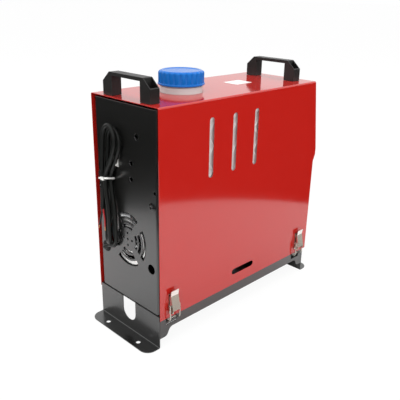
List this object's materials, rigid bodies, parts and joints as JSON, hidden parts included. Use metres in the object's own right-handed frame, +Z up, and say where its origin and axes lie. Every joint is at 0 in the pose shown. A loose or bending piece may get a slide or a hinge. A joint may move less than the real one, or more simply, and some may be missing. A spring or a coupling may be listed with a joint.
{
  "type": "portable diesel air heater",
  "caption": "Portable diesel air heater in a folded red and black sheet case with top handles, fuel tank, filler cap, side latches, intake guard and a hanging power cable.",
  "frame": {"origin": "on the floor, under the middle of the base tray, with the feet standing on z = 0", "axes": "+X along the case towards the warm air outlet, +Y across the case towards the cable's side, +Z up"},
  "size_m": [0.416, 0.17, 0.4023],
  "materials": {
    "black_steel": "satin",
    "red_paint": "gloss",
    "black_plastic": "fine grain",
    "blue_plastic": "gloss",
    "milk_plastic": "translucent, smooth",
    "white_plastic": "smooth",
    "stainless": "polished",
    "zinc_steel": "plated",
    "cast_aluminium": "as cast",
    "bright_aluminium": "bright",
    "black_rubber": "matt",
    "red_rubber": "smooth",
    "display_glass": "glossy, dark",
    "grey_plastic": "moulded"
  },
  "bodies": {
    "case": {"base_tray": "black_steel", "cover": "red_paint", "front_end_plate": "black_steel", "rear_end_plate": "black_steel", "tank_shelf": "zinc_steel", "screw_front_left": "black_steel", "screw_front_right": "black_steel", "handle_front": "black_plastic", "handle_rear": "black_plastic", "fuel_tank": "milk_plastic", "info_label": "white_plastic", "cable_grommet": "black_rubber", "cable_lead": "black_rubber", "cable_hank": "black_rubber", "cable_tie": "white_plastic", "lead_red": "red_rubber", "lead_black": "black_rubber", "heater_bracket": "zinc_steel", "core_gasket": "black_rubber", "heater_case_lower": "grey_plastic", "heater_case_upper": "grey_plastic", "motor_housing": "zinc_steel", "burner": "stainless", "glow_plug": "stainless", "heat_exchanger": "cast_aluminium", "exhaust_pipe": "stainless", "air_pipe": "grey_plastic", "outlet_hood": "grey_plastic", "outlet_collar": "black_plastic", "control_unit": "grey_plastic", "fuel_pump": "zinc_steel", "pump_saddle": "black_rubber", "fuel_filter": "milk_plastic", "hose_tank": "black_rubber", "hose_pump": "black_rubber", "hose_burner": "black_rubber", "control_panel": "black_plastic", "display_lens": "display_glass", "latch_base_front_near": "stainless", "latch_base_rear_near": "stainless", "latch_base_front_far": "stainless", "latch_base_rear_far": "stainless"},
    "rotor": {"motor_shaft": "stainless", "fan_wheel": "bright_aluminium", "blower_wheel": "cast_aluminium"},
    "vent": {"outlet_vent": "black_plastic"},
    "cap_rise": {"cap_liner": "black_rubber"},
    "cap": {"filler_cap": "blue_plastic"},
    "lever_front_near": {"latch_lever_front_near": "stainless"},
    "bail_front_near": {"latch_bail_front_near": "stainless"},
    "lever_rear_near": {"latch_lever_rear_near": "stainless"},
    "bail_rear_near": {"latch_bail_rear_near": "stainless"},
    "lever_front_far": {"latch_lever_front_far": "stainless"},
    "bail_front_far": {"latch_bail_front_far": "stainless"},
    "lever_rear_far": {"latch_lever_rear_far": "stainless"},
    "bail_rear_far": {"latch_bail_rear_far": "stainless"},
    "button_1": {"button_1": "grey_plastic"},
    "button_2": {"button_2": "grey_plastic"},
    "button_3": {"button_3": "grey_plastic"},
    "button_4": {"button_4": "grey_plastic"}
  },
  "joints": [
    {"name": "fan_spin", "type": "hinge", "parent": "case", "child": "rotor", "pos_m": [-0.165, 0, 0.159], "axis": [1, 0, 0], "continuous": true},
    {"name": "vent_turn", "type": "hinge", "parent": "case", "child": "vent", "pos_m": [0.19, 0, 0.159], "axis": [1, 0, 0], "continuous": true},
    {"name": "cap_rise", "type": "slide", "parent": "case", "child": "cap_rise", "axis": [0, 0, 1], "range_m": [0, 0.016]},
    {"name": "cap_turn", "type": "hinge", "parent": "cap_rise", "child": "cap", "pos_m": [-0.073, 0, 0.39], "axis": [0, 0, 1], "range_deg": [0, 1080]},
    {"name": "lever_front_near", "type": "hinge", "parent": "case", "child": "lever_front_near", "pos_m": [-0.1584, -0.081, 0.062], "axis": [1, 0, 0], "range_deg": [0, 150]},
    {"name": "bail_front_near", "type": "hinge", "parent": "lever_front_near", "child": "bail_front_near", "pos_m": [-0.1584, -0.0805, 0.071], "axis": [1, 0, 0], "range_deg": [-150, 0]},
    {"name": "lever_rear_near", "type": "hinge", "parent": "case", "child": "lever_rear_near", "pos_m": [0.1584, -0.081, 0.062], "axis": [1, 0, 0], "range_deg": [0, 150]},
    {"name": "bail_rear_near", "type": "hinge", "parent": "lever_rear_near", "child": "bail_rear_near", "pos_m": [0.1584, -0.0805, 0.071], "axis": [1, 0, 0], "range_deg": [-150, 0]},
    {"name": "lever_front_far", "type": "hinge", "parent": "case", "child": "lever_front_far", "pos_m": [-0.1584, 0.081, 0.062], "axis": [-1, 0, 0], "range_deg": [0, 150]},
    {"name": "bail_front_far", "type": "hinge", "parent": "lever_front_far", "child": "bail_front_far", "pos_m": [-0.1584, 0.0805, 0.071], "axis": [-1, 0, 0], "range_deg": [-150, 0]},
    {"name": "lever_rear_far", "type": "hinge", "parent": "case", "child": "lever_rear_far", "pos_m": [0.1584, 0.081, 0.062], "axis": [-1, 0, 0], "range_deg": [0, 150]},
    {"name": "bail_rear_far", "type": "hinge", "parent": "lever_rear_far", "child": "bail_rear_far", "pos_m": [0.1584, 0.0805, 0.071], "axis": [-1, 0, 0], "range_deg": [-150, 0]},
    {"name": "button_1_press", "type": "slide", "parent": "case", "child": "button_1", "axis": [-0.9879, 0, -0.1551], "range_m": [0, 0.001], "stiffness_N_per_m": 200, "springref_m": -0.001},
    {"name": "button_2_press", "type": "slide", "parent": "case", "child": "button_2", "axis": [-0.9879, 0, -0.1551], "range_m": [0, 0.001], "stiffness_N_per_m": 200, "springref_m": -0.001},
    {"name": "button_3_press", "type": "slide", "parent": "case", "child": "button_3", "axis": [-0.9879, 0, -0.1551], "range_m": [0, 0.001], "stiffness_N_per_m": 200, "springref_m": -0.001},
    {"name": "button_4_press", "type": "slide", "parent": "case", "child": "button_4", "axis": [-0.9879, 0, -0.1551], "range_m": [0, 0.001], "stiffness_N_per_m": 200, "springref_m": -0.001}
  ],
  "couplings": [
    {"joint": "cap_rise", "follows": "cap_turn", "m_per_rad": 0.000828},
    {"joint": "bail_front_near", "follows": "lever_front_near", "ratio": -1},
    {"joint": "bail_rear_near", "follows": "lever_rear_near", "ratio": -1},
    {"joint": "bail_front_far", "follows": "lever_front_far", "ratio": -1},
    {"joint": "bail_rear_far", "follows": "lever_rear_far", "ratio": -1}
  ]
}
